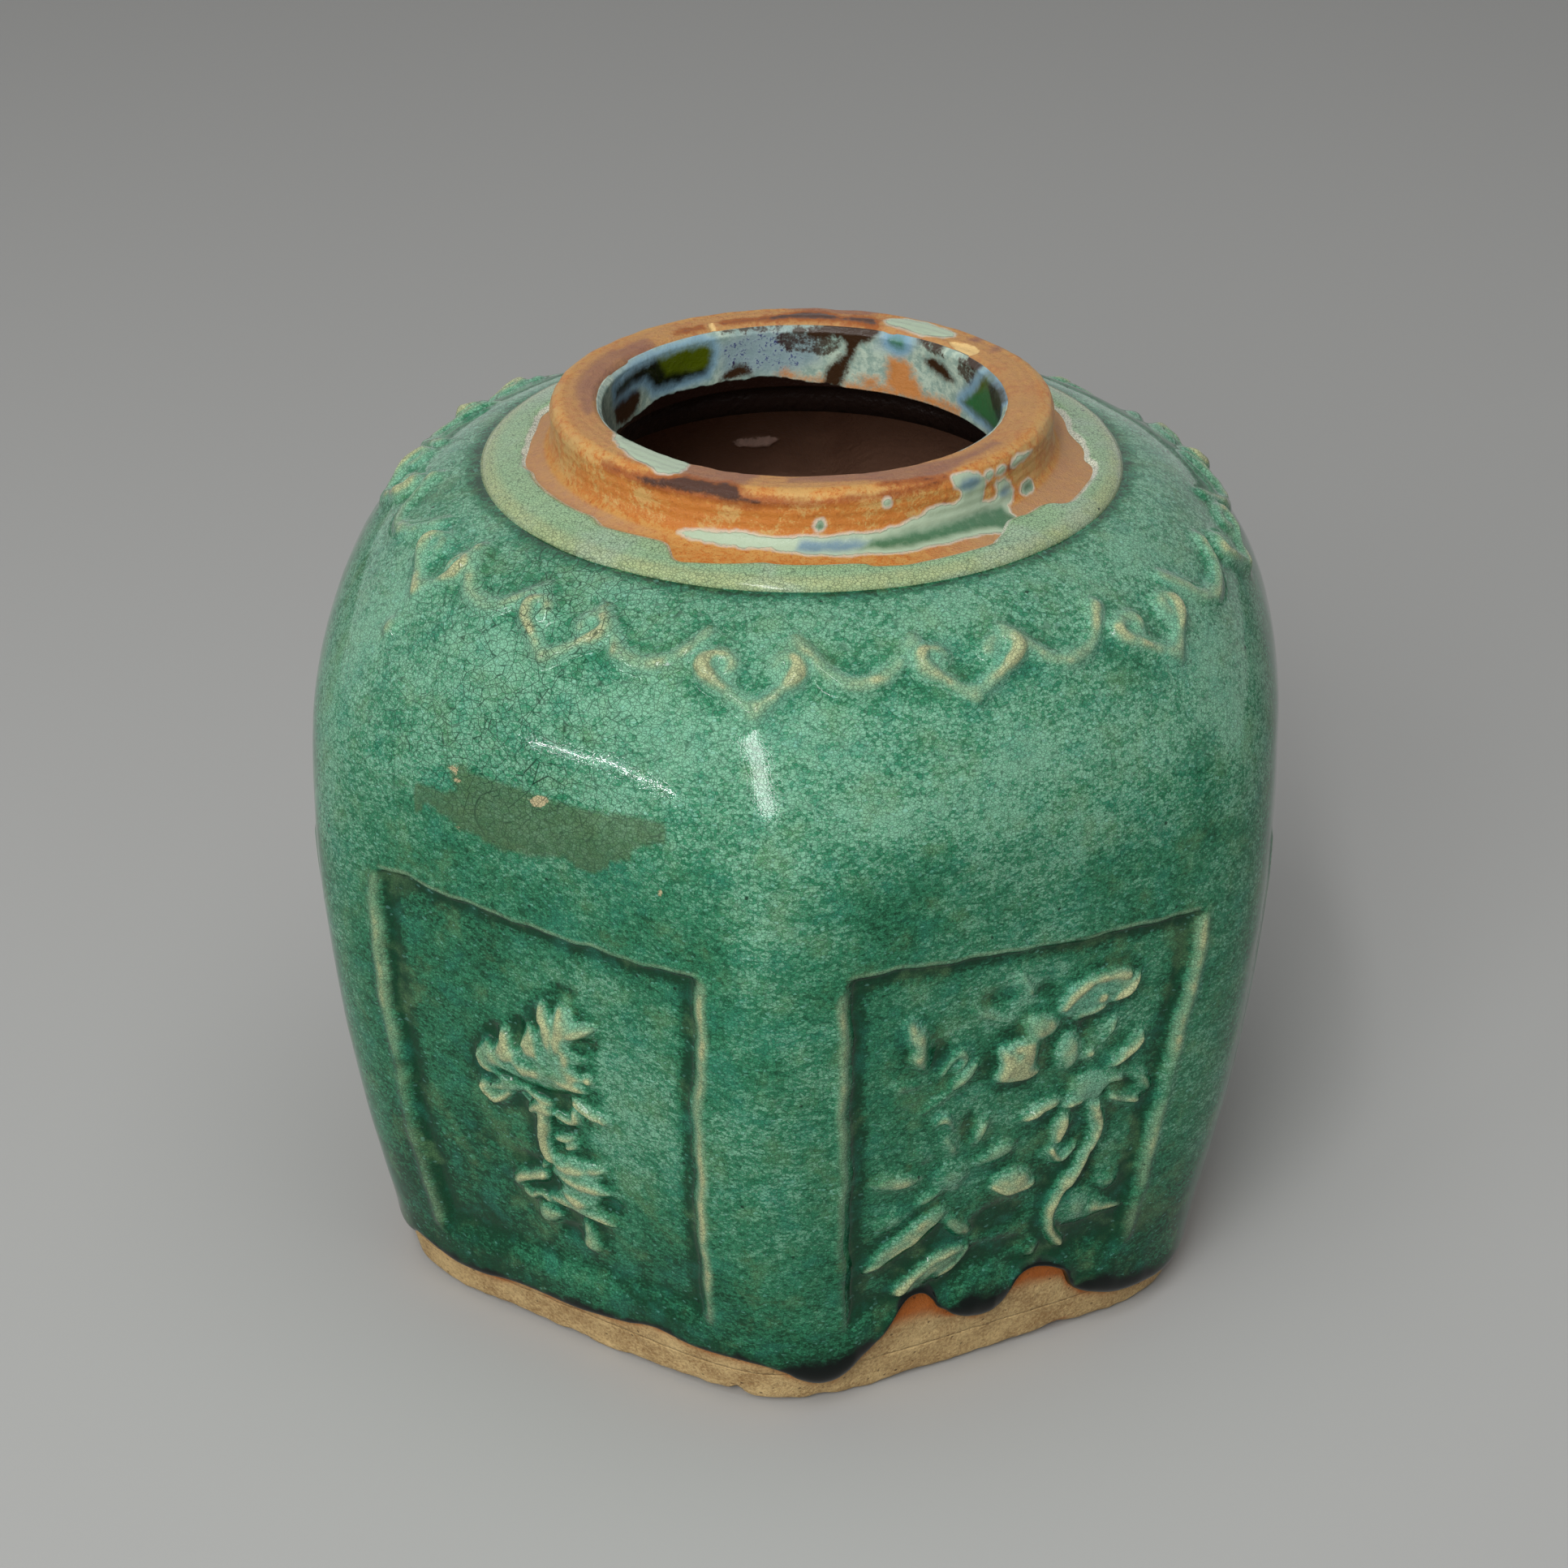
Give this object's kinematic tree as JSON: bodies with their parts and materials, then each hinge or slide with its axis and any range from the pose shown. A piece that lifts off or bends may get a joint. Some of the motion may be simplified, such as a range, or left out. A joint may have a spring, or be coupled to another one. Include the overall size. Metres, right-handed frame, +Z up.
{
  "type": "hexagonal ginger jar",
  "caption": "Rounded hexagonal lidless jar with recessed relief panels, a domed shoulder and a short round neck, for holding dry goods or flowers.",
  "frame": {"origin": "middle of the foot, on the surface it stands on", "axes": "+Z up through the mouth; the seam corner of the hexagon faces -Y; +X to the right"},
  "size_m": [0.182, 0.1974, 0.17],
  "materials": {
    "bare_clay": "unglazed buff stoneware",
    "neck_clay": "bare stoneware flashed orange, with thin glaze patches",
    "green_glaze": "gloss green lead glaze, crazed",
    "brown_glaze": "gloss dark brown lining",
    "celadon_glaze": "gloss pale blue-green runs"
  },
  "bodies": {
    "root": {"base_slab": "bare_clay", "moulded_half_right": "bare_clay", "moulded_half_left": "bare_clay", "seam_coil_front": "bare_clay", "seam_coil_back": "bare_clay", "neck_ring": "neck_clay", "outer_glaze": "green_glaze", "inner_glaze": "brown_glaze", "neck_glaze": "celadon_glaze"}
  },
  "joints": []
}
